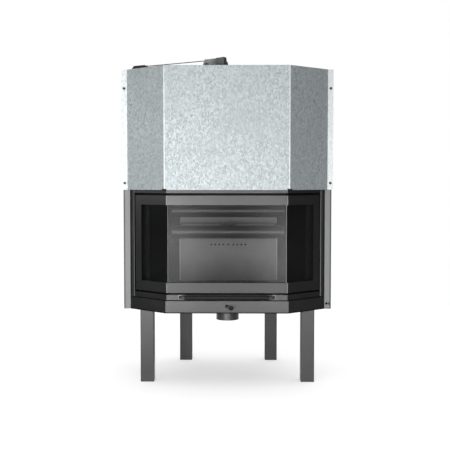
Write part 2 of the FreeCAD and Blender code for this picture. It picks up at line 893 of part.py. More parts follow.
# Perforated air plate in front of the back wall
air_plate_back = back_wall_front - cell("air_plate_gap")
air_plate_front = air_plate_back - cell("air_plate_sheet")
air_plate_half = wall_x(air_plate_back, ZERO) - cell("air_plate_play")
air_blank = block("air_plate_blank", (-air_plate_half, air_plate_half), (air_plate_front, air_plate_back),
                  (hearth_level, cell("air_plate_top")))
hole_places = [ZERO]
for number in range(4):
    reach = cell("air_hole_middle") + cell("air_hole_pitch") * number
    hole_places += [reach, -reach]
air_cuts = [rod("air_hole", "y", (x, air_plate_front - OVERRUN, cell("air_hole_level")),
                cell("air_plate_sheet") + OVERRUN * 2, cell("air_hole_radius")) for x in hole_places]
keep("back_air_plate", cut("air_plate", air_blank, air_cuts))

# Water tubes from side wall to side wall, trimmed to the slanted walls
cavity_half = [
    (wall_x(chamber_front, ZERO), chamber_front),
    (wall_x(back_wall_front, ZERO), back_wall_front),
]
cavity = plan_body("cavity", [(mirrored(cavity_half) + cavity_half, hearth_level, boiler_top)])
tube_bars = [tube(f"water_tube_{number}", "x", (-wall_reach, y, z), wall_reach * 2, tube_radius, tube_wall)
             for number, (y, z) in enumerate(tube_places)]
trimmed = doc.addObject("Part::Common", "tubes_trimmed")
trimmed.Base = group("tube_bars", tube_bars)
trimmed.Tool = cavity
keep("water_tubes", trimmed)

# Smoke baffle that lies on the lowest tube, with a lug to lift it by
baffle_low = cell("tube_first") + tube_radius
baffle_top = baffle_low + cell("baffle_sheet")
baffle_front = tube_line - cell("baffle_front")
baffle_half = cell("baffle_half")
baffle_plate = block("baffle_plate", (-baffle_half, baffle_half),
                     (baffle_front, back_wall_front - cell("baffle_play")), (baffle_low, baffle_top))
baffle_lug = block("baffle_lug", (-cell("lug_half"), cell("lug_half")),
                   (baffle_front, baffle_front + cell("baffle_sheet")),
                   (baffle_low, baffle_top + cell("lug_height")))
keep("smoke_baffle", join("baffle", [baffle_plate, baffle_lug]))

# Flue collar and water sockets
keep("flue_collar", tube("flue", "z", (ZERO, flue_back, boiler_top), cell("flue_height"),
                         flue_outer, cell("flue_wall")))
socket_radius = cell("socket_radius")
socket_length = cell("socket_length")
well_radius = cell("well_radius")
keep("water_sockets", group("sockets", [
    tube("flow_socket", "z", (socket_x, flow_back, top_sheet), socket_length, socket_radius,
         socket_radius - socket_bore),
    tube("return_socket", "y", (socket_x, body_depth, return_level), socket_length, socket_radius,
         socket_radius - socket_bore),
    tube("sensor_well", "y", (-socket_x, body_depth, well_level), socket_length, well_radius,
         well_radius - well_bore),
]))

# Air inlet spigot through the floor, with holes for the disc's spindle
spigot_wall = cell("spigot_wall")
spigot_bottom = cell("spigot_bottom")
spigot_top = cell("spigot_top")
spigot_inner = spigot_pipe_radius - spigot_wall
spigot_shoulder = spigot_bottom + cell("spigot_entry")
throat_radius = cell("throat_radius")
throat_low = spindle_level - cell("throat_height") / 2
throat_high = spindle_level + cell("throat_height") / 2
spigot_pipes = [
    rod("spigot_entry", "z", (ZERO, spigot_back, spigot_bottom), cell("spigot_entry"), spigot_radius),
    rod("spigot_pipe", "z", (ZERO, spigot_back, spigot_shoulder), spigot_top - spigot_shoulder,
        spigot_pipe_radius),
    rod("spigot_ring", "z", (ZERO, spigot_back, floor_top), cell("spigot_flange_sheet"),
        spigot_radius + cell("spigot_flange")),
]
spigot_cuts = [
    rod("spigot_entry_bore", "z", (ZERO, spigot_back, spigot_bottom - OVERRUN),
        cell("spigot_entry") - spigot_wall + OVERRUN, spigot_radius - spigot_wall),
    rod("spigot_lower_bore", "z", (ZERO, spigot_back, spigot_bottom - OVERRUN),
        throat_low - spigot_bottom + OVERRUN, spigot_inner),
    rod("spigot_throat", "z", (ZERO, spigot_back, throat_low - OVERRUN),
        cell("throat_height") + OVERRUN * 2, throat_radius),
    rod("spigot_upper_bore", "z", (ZERO, spigot_back, throat_high),
        spigot_top - throat_high + OVERRUN, spigot_inner),
    rod("spigot_spindle", "y", (ZERO, spigot_back - spigot_radius - OVERRUN, spindle_level),
        spigot_radius * 2 + OVERRUN * 2, spindle_radius + cell("running_fit")),
]
keep("air_spigot", cut("spigot", join("spigot_blank", spigot_pipes), spigot_cuts))

# Air disc, spindle, crank and knob turn together about the spindle
lever_angle = cell("lever_angle")


def turn_about_spindle(shape_object):
    """Put a body in the tilted frame whose origin is on the spindle at the front panel."""
    shape_object.Placement = FreeCAD.Placement(vector(), FreeCAD.Rotation(vector(0, 1, 0), lever_angle.value))
    bind(shape_object, "Placement.Rotation.Angle", lever_angle)
    place(shape_object, ZERO, ZERO, spindle_level)


lever_arm = cell("lever_arm")
lever_bend = cell("lever_bend")
lever_standoff = cell("lever_standoff")
knob_radius = cell("knob_radius")
knob_middle = -(cell("lever_reach") - knob_radius)
rod_end = knob_middle + knob_radius - cell("knob_socket")
spindle_end = spigot_back + spigot_radius + cell("spindle_overhang")
first_bend = lever_bend - lever_standoff
second_bend = -lever_standoff - lever_bend

spindle = doc.addObject("PartDesign::Body", "spindle")
turn_about_spindle(spindle)
spindle_path = new_sketch(spindle, "XY_Plane")
draw_path(spindle_path, [
    ("line", (ZERO, spindle_end), (ZERO, first_bend)),
    ("turn", (lever_bend, first_bend), 180, 270),
    ("line", (lever_bend, -lever_standoff), (lever_arm - lever_bend, -lever_standoff)),
    ("turn", (lever_arm - lever_bend, second_bend), 0, 90),
    ("line", (lever_arm, second_bend), (lever_arm, rod_end)),
], lever_bend)
spindle_section = new_sketch(spindle, "XZ_Plane", -spindle_end)
draw_circle(spindle_section, (ZERO, ZERO), spindle_radius)
spindle_pipe = spindle.newObject("PartDesign::AdditivePipe", "spindle_pipe")
spindle_pipe.Profile = spindle_section
spindle_pipe.Spine = (spindle_path, [f"Edge{number}" for number in range(1, 6)])
keep("damper_spindle", spindle)

disc_radius = throat_radius - cell("disc_play")
disc_thickness = cell("disc_thickness")
disc_body = doc.addObject("PartDesign::Body", "disc")
turn_about_spindle(disc_body)
disc_sketch = new_sketch(disc_body, "XY_Plane")
draw_circle(disc_sketch, (ZERO, spigot_back), disc_radius)
add_pad(disc_body, disc_sketch, disc_thickness, symmetric=True)
disc_slot = rod("disc_slot", "y", (ZERO, spigot_back - spigot_radius, spindle_level), spigot_radius * 2,
                spindle_radius)
keep("damper_disc", cut("disc_halves", disc_body, [disc_slot]))

knob_body = doc.addObject("PartDesign::Body", "knob")
turn_about_spindle(knob_body)
knob_sketch = new_sketch(knob_body, "XY_Plane")
ball = Part.Circle(vector(lever_arm.value, knob_middle.value, 0), vector(0, 0, 1), knob_radius.value)
knob_sketch.addGeometry(Part.ArcOfCircle(ball, -math.pi / 2, math.pi / 2), False)
knob_top = vector(lever_arm.value, knob_middle.value + knob_radius.value, 0)
knob_foot = vector(lever_arm.value, knob_middle.value - knob_radius.value, 0)
knob_sketch.addGeometry(Part.LineSegment(knob_top, knob_foot), False)
pin_point(knob_sketch, 0, 3, (lever_arm, knob_middle))
pin_point(knob_sketch, 1, 1, (lever_arm, knob_middle + knob_radius))
pin_point(knob_sketch, 1, 2, (lever_arm, knob_middle - knob_radius))
knob_sketch.addConstraint(Sketcher.Constraint("Coincident", 0, 2, 1, 1))
knob_turn = knob_body.newObject("PartDesign::Revolution", "knob_turn")
knob_turn.Profile = knob_sketch
knob_turn.ReferenceAxis = (knob_sketch, ["Edge2"])
knob_turn.Angle = 360
knob_bore = doc.addObject("PartDesign::Body", "knob_bore")
turn_about_spindle(knob_bore)
bore_sketch = new_sketch(knob_bore, "XZ_Plane", -rod_end)
draw_circle(bore_sketch, (lever_arm, ZERO), spindle_radius + cell("knob_fit"))
bore_pad = add_pad(knob_bore, bore_sketch, knob_radius)
bore_pad.Reversed = True
keep("air_knob", cut("knob_bored", knob_body, [knob_bore]))

# Door carrier: angle rails across the three sides and angle stiles at the ends
carrier_sheet = cell("carrier_sheet")
carrier_face = door_setback + carrier_sheet
carrier_inner = door_setback + cell("carrier_depth")
stile_inner = carrier_half - carrier_sheet
rail_half = stile_inner


def carrier_rail(name, low, high, web_low):
    """An angle rail: a face strip and a level web behind it."""
    return plan_body(name, [
        (front_strip(door_setback, carrier_face, rail_half), low, high),
        (front_strip(carrier_face, carrier_inner, rail_half), web_low, web_low + carrier_sheet),
    ])


keep("carrier_bottom_rail", carrier_rail("low_rail", carrier_bottom, carrier_low_top, carrier_bottom))
keep("carrier_top_rail", carrier_rail("high_rail", carrier_top_low, carrier_top, carrier_top - carrier_sheet))
stile_front = facet_at_x(door_setback, stile_inner)[1]
stile_back = track_back
stile_plan = [
    (stile_inner, stile_front),
    (stile_inner + cell("stile_face"), stile_front),
    (stile_inner + cell("stile_face"), stile_front + carrier_sheet),
    (carrier_half, stile_front + carrier_sheet),
    (carrier_half, stile_back),
    (stile_inner, stile_back),
]
for side, turn in (("right", list), ("left", mirrored)):
    stile_layers = [(turn(stile_plan), carrier_bottom, carrier_top)]
    keep(f"carrier_{side}_stile", plan_body(f"{side}_stile", stile_layers))

# Guide shoes on the stiles run between the track flanges
shoe_play = cell("shoe_play")
shoes = []
for sign in (-1, 1):
    ends = sorted((carrier_half * sign, (opening_half - cell("shoe_end_play")) * sign),
                  key=lambda size: size.value)
    for low in (carrier_bottom + cell("shoe_inset"), carrier_top - cell("shoe_inset") - cell("shoe_height")):
        shoes.append(block("shoe", ends, (track_front + shoe_play, track_back - shoe_play),
                           (low, low + cell("shoe_height"))))
keep("guide_shoes", group("shoes", shoes))

# Door leaf: folded rails and stiles that hold the panes
leaf_sheet = cell("leaf_sheet")
leaf_return = cell("leaf_return")
leaf_face = door_setback + leaf_sheet
reveal_end = door_setback + cell("reveal_depth")
pane_front = reveal_end + cell("gasket_thickness")
pane_back = pane_front + cell("pane_thickness")
leaf_inner = pane_back + leaf_return


def leaf_rail(name, low, high, outer_low, reveal_low):
    """A folded rail: face, outer return, flange behind the panes and reveal in front of them."""
    flange = sorted((outer_low, reveal_low), key=lambda size: size.value)
    return plan_body(name, [
        (front_strip(door_setback, leaf_face, leaf_half), low, high),
        (front_strip(leaf_face, leaf_inner, leaf_half), outer_low, outer_low + leaf_return),
        (front_strip(pane_back, leaf_inner, leaf_half), flange[0] + leaf_return, flange[1]),
        (front_strip(leaf_face, reveal_end, window_half), reveal_low, reveal_low + leaf_return),
    ])


keep("leaf_bottom_rail", leaf_rail("leaf_low", leaf_bottom, window_bottom, leaf_bottom,
                                   window_bottom - leaf_return))
keep("leaf_top_rail", leaf_rail("leaf_high", window_top, leaf_top, leaf_top - leaf_return, window_top))
leaf_side = leaf_half - leaf_return
reveal_side = window_half + leaf_return
leaf_stile_plan = [
    facet_at_x(door_setback, window_half),
    facet_at_x(door_setback, leaf_half),
    facet_at_x(leaf_inner, leaf_half),
    facet_at_x(leaf_inner, reveal_side),
    facet_at_x(pane_back, reveal_side),
    facet_at_x(pane_back, leaf_side),
    facet_at_x(leaf_face, leaf_side),
    facet_at_x(leaf_face, reveal_side),
    facet_at_x(reveal_end, reveal_side),
    facet_at_x(reveal_end, window_half),
]
for side, turn in (("right", list), ("left", mirrored)):
    leaf_stile_layers = [(turn(leaf_stile_plan), window_bottom, window_top)]
    keep(f"leaf_{side}_stile", plan_body(f"leaf_{side}", leaf_stile_layers))

# Panes and their gasket
pane_lap = cell("pane_lap")
pane_low = window_bottom - pane_lap
pane_high = window_top + pane_lap
pane_half = window_half + pane_lap
joint_half = cell("pane_joint") / 2


def shifted(point, shift):
    return (point[0] + shift, point[1])


front_pane_side = [shifted(fold(pane_front), -joint_half), shifted(fold(pane_back), -joint_half)]
front_pane_plan = mirrored(front_pane_side) + front_pane_side
keep("front_pane", plan_body("middle_glass", [(front_pane_plan, pane_low, pane_high)]))
side_pane_plan = [
    facet_at_x(pane_front, fold(pane_front)[0] + joint_half),
    facet_at_x(pane_front, pane_half),
    facet_at_x(pane_back, pane_half),
    facet_at_x(pane_back, fold(pane_back)[0] + joint_half),
]
for side, turn in (("right", list), ("left", mirrored)):
    keep(f"{side}_pane", plan_body(f"{side}_glass", [(turn(side_pane_plan), pane_low, pane_high)]))
gasket_side = [
    facet_at_x(reveal_end, window_half),
    facet_at_x(reveal_end, pane_half),
    facet_at_x(pane_front, pane_half),
    facet_at_x(pane_front, window_half),
]
keep("pane_gasket", plan_body("gasket", [
    (front_strip(reveal_end, pane_front, pane_half), pane_low, window_bottom),
    (gasket_side, window_bottom, window_top),
    (mirrored(gasket_side), window_bottom, window_top),
    (front_strip(reveal_end, pane_front, pane_half), window_top, pane_high),
]))

# Pins that carry the leaf in the carrier
pin_x = leaf_half - cell("leaf_pin_inset")
pin_y = facet_at_x((leaf_face + leaf_inner) / 2, pin_x)[1]
pin_radius = cell("leaf_pin_radius")
carrier_web_top = carrier_bottom + carrier_sheet
carrier_web_low = carrier_top - carrier_sheet
pins = []
for sign in (-1, 1):
    pins.append(rod("pin_low", "z", (pin_x * sign, pin_y, carrier_web_top), leaf_bottom - carrier_web_top,
                    pin_radius))
    pins.append(rod("pin_high", "z", (pin_x * sign, pin_y, leaf_top), carrier_web_low - leaf_top, pin_radius))
keep("leaf_pins", group("pins", pins))

# Handle: a bent rod on the bottom rail, with a sleeve to grip
handle_half = front_half - cell("handle_inset")
handle_bend = cell("handle_bend")
handle_line = door_setback - cell("handle_reach")
handle_level = carrier_bottom + cell("handle_rise")
bend_line = handle_line + handle_bend
handle_radius = cell("handle_rod_radius")
handle = doc.addObject("PartDesign::Body", "handle")
place(handle, ZERO, ZERO, handle_level)
handle_path = new_sketch(handle, "XY_Plane")
draw_path(handle_path, [
    ("line", (-handle_half, door_setback), (-handle_half, bend_line)),
    ("turn", (handle_bend - handle_half, bend_line), 180, 270),
    ("line", (handle_bend - handle_half, handle_line), (handle_half - handle_bend, handle_line)),
    ("turn", (handle_half - handle_bend, bend_line), 270, 360),
    ("line", (handle_half, bend_line), (handle_half, door_setback)),
], handle_bend)
handle_section = new_sketch(handle, "XZ_Plane", -door_setback)
draw_circle(handle_section, (-handle_half, ZERO), handle_radius)
handle_pipe = handle.newObject("PartDesign::AdditivePipe", "handle_pipe")
handle_pipe.Profile = handle_section
handle_pipe.Spine = (handle_path, [f"Edge{number}" for number in range(1, 6)])
handle_feet = [rod("handle_foot", "y", (handle_half * sign, door_setback - cell("handle_foot"), handle_level),
                   cell("handle_foot"), cell("handle_foot_radius")) for sign in (-1, 1)]
keep("handle_rod", join("handle_joined", [handle] + handle_feet))
sleeve_half = handle_half - cell("sleeve_inset")
keep("handle_sleeve", tube("sleeve", "x", (-sleeve_half, handle_line, handle_level), sleeve_half * 2,
                           cell("sleeve_radius"), cell("sleeve_radius") - handle_radius - cell("knob_fit")))

# Lift plate on the carrier's top rail, with the boss that grips the cable
lift_plate_half = cell("lift_plate_half")
lift_plate_top = carrier_top + cell("lift_plate_sheet")
lift_top = lift_plate_top + cell("lift_boss")
lift_plate = block("lift_plate", (-lift_plate_half, lift_plate_half), (carrier_face, carrier_inner),
                   (carrier_top, lift_plate_top))
lift_boss = rod("lift_boss", "z", (ZERO, door_drop, lift_plate_top), cell("lift_boss"),
                cell("lift_boss_radius"))
keep("lift_bracket", join("lift_joined", [lift_plate, lift_boss]))

# The cable's run in plan, from the door to the counterweight at the left
guide_half = cell("guide_side") / 2
weight_x = guide_half + cell("guide_inset") - upright_outer
weight_back = chamber_front + cell("guide_standoff") + guide_half
run_back = weight_back - door_drop
run_length = square_root(weight_x * weight_x + run_back * run_back)
run_angle = -arctangent(run_back, -weight_x)
pulley_radius = cell("pulley_radius")
pulley_level = hood_top
centre_pulley = -pulley_radius
left_pulley = pulley_radius - run_length
cable_radius = cell("cable_radius")


def along_cable(shape_object, x, z):
    """Put a body in the frame whose x axis runs along the cable towards the door."""
    turn = FreeCAD.Rotation(vector(0, 0, 1), run_angle.value)
    shape_object.Placement = FreeCAD.Placement(vector(), turn)
    bind(shape_object, "Placement.Rotation.Angle", run_angle)
    bind(shape_object, "Placement.Base.x", x * weight_x / -run_length)
    bind(shape_object, "Placement.Base.y", front_y + door_drop - x * run_back / run_length)
    bind(shape_object, "Placement.Base.z", z)


# Pulleys: grooved wheels with a running bore
axle_radius = cell("axle_radius")
groove_floor = pulley_radius - cable_radius - cell("cable_play")
rim_radius = pulley_radius + cell("pulley_rim")
pulley_half = cell("pulley_width") / 2
groove_half = cable_radius + cell("cable_play")
hub_half = pulley_half + cell("pulley_hub_side") - cell("cable_play")
bore_radius = axle_radius + cell("running_fit")
hub_radius = bore_radius + cell("bolt_head")
pulley_profile = [
    (-hub_half, bore_radius),
    (hub_half, bore_radius),
    (hub_half, hub_radius),
    (pulley_half, hub_radius),
    (pulley_half, rim_radius),
    (groove_half, groove_floor),
    (-groove_half, groove_floor),
    (-pulley_half, rim_radius),
    (-pulley_half, hub_radius),
    (-hub_half, hub_radius),
]
for name, centre in (("centre_pulley", centre_pulley), ("left_pulley", left_pulley)):
    wheel = doc.addObject("PartDesign::Body", f"{name}_wheel")
    along_cable(wheel, centre, pulley_level)
    wheel_sketch = new_sketch(wheel, "YZ_Plane")
    draw_outline(wheel_sketch, pulley_profile)
    wheel_turn = wheel.newObject("PartDesign::Revolution", f"{name}_turn")
    wheel_turn.Profile = wheel_sketch
    wheel_turn.ReferenceAxis = (wheel_sketch, ["H_Axis"])
    wheel_turn.Angle = 360
    keep(name, wheel)

# Brackets: a base plate with two cheeks, and a guard over the middle pulley
cheek_sheet = cell("cheek_sheet")
cheek_inner = pulley_half + cell("pulley_hub_side")
cheek_middle = cheek_inner + cheek_sheet / 2
cheek_outer = cheek_inner + cheek_sheet
bracket_base = cell("bracket_base")
base_half = cell("bracket_base_half")
cheek_top = cell("cheek_top")
centre_base_low = top_plate_top - pulley_level
left_base_low = upright_top - pulley_level


def cheek_pads(body, outline):
    for offset in (cheek_middle, -cheek_middle):
        cheek = new_sketch(body, "XZ_Plane", offset)
        draw_outline(cheek, outline)
        add_pad(body, cheek, cheek_sheet, symmetric=True)


def bracket_body(name, centre, base_low, back, front):
    """A bracket's base plate, in the frame of its pulley."""
    body = doc.addObject("PartDesign::Body", name)
    along_cable(body, centre, pulley_level)
    base = new_sketch(body, "XY_Plane", base_low)
    draw_outline(base, [(-back, -base_half), (front, -base_half), (front, base_half), (-back, base_half)])
    add_pad(body, base, bracket_base)
    return body


def across_cable(name, centre, x, z, radius, half_length):
    """A round solid across the cable's plane, at a place in a pulley's frame."""
    body = doc.addObject("PartDesign::Body", name)
    along_cable(body, centre, pulley_level)
    section = new_sketch(body, "XZ_Plane")
    draw_circle(section, (x, z), radius)
    add_pad(body, section, half_length * 2, symmetric=True)
    return body


def cable_way(name, centre, x, base_low):
    """The hole in a base plate where the cable drops through."""
    body = doc.addObject("PartDesign::Body", name)
    along_cable(body, centre, pulley_level)
    section = new_sketch(body, "XY_Plane", base_low - OVERRUN)
    draw_circle(section, (x, ZERO), cell("cable_hole_radius"))
    add_pad(body, section, bracket_base + OVERRUN * 2)
    return body


axle_hole = axle_radius + bolt_play
hole_reach = cheek_outer + cell("guard_skirt") + OVERRUN
centre_bracket = bracket_body("centre_bracket", centre_pulley, centre_base_low, cell("centre_cheek_foot"),
                              cell("centre_base_front"))
cheek_pads(centre_bracket, [
    (-cell("centre_cheek_foot"), centre_base_low),
    (cell("centre_cheek_front"), centre_base_low),
    (cell("centre_cheek_front"), cheek_top),
    (-cell("centre_cheek_back"), cheek_top),
])
guard = new_sketch(centre_bracket, "XZ_Plane")
draw_outline(guard, [
    (-cell("guard_back"), cheek_top),
    (cell("guard_front"), cheek_top),
    (cell("guard_front"), cheek_top + cell("guard_high")),
    (-cell("guard_back"), cheek_top + cell("guard_low")),
])
add_pad(centre_bracket, guard, cheek_outer * 2, symmetric=True)
skirt = new_sketch(centre_bracket, "XZ_Plane", cheek_outer + cell("guard_skirt") / 2)
draw_outline(skirt, [
    (-cell("guard_skirt_back"), centre_base_low),
    (cell("centre_cheek_front"), centre_base_low),
    (cell("centre_cheek_front"), cheek_top),
    (-cell("guard_skirt_back"), cheek_top),
])
add_pad(centre_bracket, skirt, cell("guard_skirt"), symmetric=True)
spacer_x = -cell("spacer_back")
spacer_z = cell("spacer_level")
keep("centre_pulley_bracket", cut("centre_bracket_holed", centre_bracket, [
    across_cable("centre_axle_cut", centre_pulley, ZERO, ZERO, axle_hole, hole_reach),
    across_cable("spacer_cut", centre_pulley, spacer_x, spacer_z, axle_hole, hole_reach),
    cable_way("centre_cable_cut", centre_pulley, pulley_radius, centre_base_low),
]))

left_bracket = bracket_body("left_bracket", left_pulley, left_base_low, cell("left_base_back"),
                            cell("left_cheek_front"))
corner = cell("left_corner_radius")
cheek_pads(left_bracket, [
    (-cell("left_cheek_back"), left_base_low),
    (cell("left_cheek_front"), left_base_low),
    (cell("left_cheek_front"), cheek_top),
    (corner - cell("left_cheek_back"), cheek_top),
    (-cell("left_cheek_back"), cheek_top - corner),
])
keep("left_pulley_bracket", cut("left_bracket_holed", left_bracket, [
    across_cable("left_axle_cut", left_pulley, ZERO, ZERO, axle_hole, hole_reach),
    cable_way("left_cable_cut", left_pulley, -pulley_radius, left_base_low),
]))

# Axle bolts: a shank through both cheeks, with a head and a nut outside them
bolt_head = cell("bolt_head")


def axle_bolt(name, centre, x, z, front_wall):
    body = doc.addObject("PartDesign::Body", name)
    along_cable(body, centre, pulley_level)
    shank = new_sketch(body, "XZ_Plane")
    draw_circle(shank, (x, z), axle_radius)
    add_pad(body, shank, (front_wall + bolt_head) * 2, symmetric=True)
    for wall, side in ((front_wall, 1), (cheek_outer, -1)):
        head = new_sketch(body, "XZ_Plane", (wall + bolt_head / 2) * side)
        draw_circle(head, (x, z), cell("bolt_head_radius"))
        add_pad(body, head, bolt_head, symmetric=True)
    return body


keep("pulley_axles", group("axles", [
    axle_bolt("centre_axle", centre_pulley, ZERO, ZERO, cheek_outer + cell("guard_skirt")),
    axle_bolt("spacer_bolt", centre_pulley, spacer_x, spacer_z, cheek_outer),
    axle_bolt("left_axle", left_pulley, ZERO, ZERO, cheek_outer),
]))

# Cable over both pulleys: quarter turns on the wheels and a straight run between them
cable = doc.addObject("PartDesign::Body", "cable")
along_cable(cable, ZERO, pulley_level)
cable_path = new_sketch(cable, "XZ_Plane")
draw_path(cable_path, [
    ("turn", (centre_pulley, ZERO), 0, 90),
    ("line", (centre_pulley, pulley_radius), (left_pulley, pulley_radius)),
    ("turn", (left_pulley, ZERO), 90, 180),
], pulley_radius)
cable_section = new_sketch(cable, "XY_Plane")
draw_circle(cable_section, (ZERO, ZERO), cable_radius)
cable_pipe = cable.newObject("PartDesign::AdditivePipe", "cable_pipe")
cable_pipe.Profile = cable_section
cable_pipe.Spine = (cable_path, [f"Edge{number}" for number in range(1, 4)])
keep("lift_cable_top_run", cable)
keep("lift_cable_door_run", rod("door_run", "z", (ZERO, door_drop, lift_top), pulley_level - lift_top,
                                cable_radius))

# Counterweight in a slotted guide tube behind the left upright
weight_half = cell("weight_side") / 2
weight_top = cell("weight_top")
weight_low = weight_top - cell("weight_length")
weight_boss_top = weight_top + cell("lift_boss")
weight_bar = block("weight_bar", (weight_x - weight_half, weight_x + weight_half),
                   (weight_back - weight_half, weight_back + weight_half), (weight_low, weight_top))
weight_boss = rod("weight_boss", "z", (weight_x, weight_back, weight_top), cell("lift_boss"),
                  cell("lift_boss_radius"))
keep("counterweight", join("weight_joined", [weight_bar, weight_boss]))
keep("lift_cable_weight_run", rod("weight_run", "z", (weight_x, weight_back, weight_boss_top),
                                  pulley_level - weight_boss_top, cable_radius))

guide_clear = guide_half - cell("guide_wall")
slot_half_width = cell("guide_slot") / 2
guide_bottom = cell("guide_bottom")
guide_outer = block("guide_outer", (weight_x - guide_half, weight_x + guide_half),
                    (weight_back - guide_half, weight_back + guide_half), (guide_bottom, upright_top))
guide_inner = block("guide_inner", (weight_x - guide_clear, weight_x + guide_clear),
                    (weight_back - guide_clear, weight_back + guide_clear),
                    (guide_bottom - OVERRUN, upright_top + OVERRUN))
guide_slot = block("guide_slot", (weight_x - guide_half - OVERRUN, weight_x - guide_clear + OVERRUN),
                   (weight_back - slot_half_width, weight_back + slot_half_width),
                   (guide_bottom - OVERRUN, upright_top + OVERRUN))
guide_tube = cut("guide_tube", guide_outer, [guide_inner, guide_slot])
arm_half = cell("guide_arm_half")
arm_sheet = cell("guide_arm_sheet")
guide_arms = [block("guide_arm", (weight_x - arm_half, weight_x + arm_half),
                    (chamber_front, weight_back - guide_half), (level, level + arm_sheet))
              for level in (cell("guide_arm_low"), cell("guide_arm_high"))]
keep("counterweight_guide", join("guide_joined", [guide_tube] + guide_arms))

# Bolts of the legs, the hood and the right post
screw_head = cell("screw_head")
screw_head_radius = cell("screw_head_radius")
screw_tail = cell("screw_tail")
bolts = []
for leg_name, (leg_x, leg_y) in leg_places.items():
    middle_y = leg_y + leg_width / 2
    shank_low = base_bottom - leg_plate - screw_tail
    bolts.append(join(f"{leg_name}_bolt", [
        hexagon("bolt_head", "z", (leg_x, middle_y, floor_top), bolt_head, cell("bolt_head_radius")),
        hexagon("bolt_nut", "z", (leg_x, middle_y, base_bottom - leg_plate - bolt_head), bolt_head,
                cell("bolt_head_radius")),
        rod("bolt_shank", "z", (leg_x, middle_y, shank_low), floor_top - shank_low, leg_bolt_radius),
    ]))


def front_screw(name, x, face, level):
    """A hexagon screw from the front through a flange and an upright's face."""
    return join(name, [
        hexagon("screw_head", "y", (x, face - screw_head, level), screw_head, screw_head_radius),
        rod("screw_shank", "y", (x, face - screw_head, level), screw_head + screw_tail, screw_radius),
    ])


for sign in (-1, 1):
    for level in screw_levels:
        bolts.append(front_screw("hood_screw", screw_x * sign, flange_front, level))
bolts.append(front_screw("post_bolt", post_bolt_x, prism_depth, cell("post_bolt_level")))
keep("frame_bolts", group("bolts", bolts))

doc.recompute()

# Check every object before anything is written
faults = [item.Name for item in doc.Objects if {"Invalid", "Error"} & set(item.State)]
faults += [name for name, item in nodes.items() if item.Shape.isNull() or not item.Shape.isValid()]
if faults:
    raise RuntimeError(f"These objects failed: {sorted(set(faults))}")

os.makedirs("parts", exist_ok=True)
for name, item in nodes.items():
    item.Shape.exportStep(f"parts/{name}.step")
    print(name, len(item.Shape.Solids), round(item.Shape.Volume))
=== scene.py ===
import json
import math

import bmesh
import bpy
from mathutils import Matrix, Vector


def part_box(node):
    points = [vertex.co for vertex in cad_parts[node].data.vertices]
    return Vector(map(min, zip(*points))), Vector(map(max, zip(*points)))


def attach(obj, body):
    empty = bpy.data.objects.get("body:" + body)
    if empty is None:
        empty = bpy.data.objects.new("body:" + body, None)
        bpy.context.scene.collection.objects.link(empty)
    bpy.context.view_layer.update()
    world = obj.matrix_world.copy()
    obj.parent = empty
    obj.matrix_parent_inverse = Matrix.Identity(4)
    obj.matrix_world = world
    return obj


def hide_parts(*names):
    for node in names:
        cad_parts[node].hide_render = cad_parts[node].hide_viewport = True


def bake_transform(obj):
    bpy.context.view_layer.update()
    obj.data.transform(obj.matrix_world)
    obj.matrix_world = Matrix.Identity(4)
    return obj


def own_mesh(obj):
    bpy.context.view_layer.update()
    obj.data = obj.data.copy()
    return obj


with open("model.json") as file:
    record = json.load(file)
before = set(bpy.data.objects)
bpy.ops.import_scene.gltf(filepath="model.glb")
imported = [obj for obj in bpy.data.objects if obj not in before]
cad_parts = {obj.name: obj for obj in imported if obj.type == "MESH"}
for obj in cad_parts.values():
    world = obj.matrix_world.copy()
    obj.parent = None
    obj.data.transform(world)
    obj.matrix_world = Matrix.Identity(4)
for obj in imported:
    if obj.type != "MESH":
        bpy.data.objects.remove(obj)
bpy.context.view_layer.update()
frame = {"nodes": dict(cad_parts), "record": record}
nodes = frame["nodes"]
scene = bpy.context.scene

# Lengths are in metres
TOUCH = 0.0005           # two edges this close lie on one line
FLAT = 0.99              # part of a face's normal that makes it lie across that axis
RELIEF_DEPTH = 0.0004    # depth of grain and crystals
FOLD_HIGHLIGHT_WIDTH = 0.003       # width of a painted highlight along a fold
PAINTED_SHADE_FADE = 0.006        # painted shade fades out over this height
# colour of the painted shade below a height
PAINTED_SHADE = (0.004, 0.004, 0.004)
NOISE_LOW, NOISE_HIGH = 0.3, 0.7    # most values of a noise lie between these


# Materials: every finish varies in colour, roughness and relief over the surface

def new_material(name):
    material = bpy.data.materials.new(name)
    material.use_nodes = True
    shader = material.node_tree.nodes["Principled BSDF"]
    return material, material.node_tree, shader


def noise(tree, coords, scale, detail=3.0):
    """A noise texture on the object's own metres."""
    texture = tree.nodes.new("ShaderNodeTexNoise")
    texture.inputs["Scale"].default_value = scale
    texture.inputs["Detail"].default_value = detail
    tree.links.new(coords.outputs["Object"], texture.inputs["Vector"])
    return texture


def ramp(tree, source, stops):
    """Colours by value, from stops of a place and a colour."""
    node = tree.nodes.new("ShaderNodeValToRGB")
    elements = node.color_ramp.elements
    for element, (place, colour) in zip(elements, (stops[0], stops[-1])):
        element.position = place
        element.color = (*colour, 1)
    for place, colour in stops[1:-1]:
        element = elements.new(place)
        element.color = (*colour, 1)
    tree.links.new(source, node.inputs["Fac"])
    return node.outputs["Color"]


def span(tree, source, low, high, start=NOISE_LOW, end=NOISE_HIGH):
    """Values from start to end, spread from low to high."""
    node = tree.nodes.new("ShaderNodeMapRange")
    node.inputs["From Min"].default_value = start
    node.inputs["From Max"].default_value = end
    node.inputs["To Min"].default_value = low
    node.inputs["To Max"].default_value = high
    tree.links.new(source, node.inputs["Value"])
    return node.outputs["Result"]


def relief(tree, shader, source, strength, distance):
    node = tree.nodes.new("ShaderNodeBump")
    node.inputs["Strength"].default_value = strength
    node.inputs["Distance"].default_value = distance
    tree.links.new(source, node.inputs["Height"])
    tree.links.new(node.outputs["Normal"], shader.inputs["Normal"])


def shade(colour, share):
    return tuple(channel * share for channel in colour)


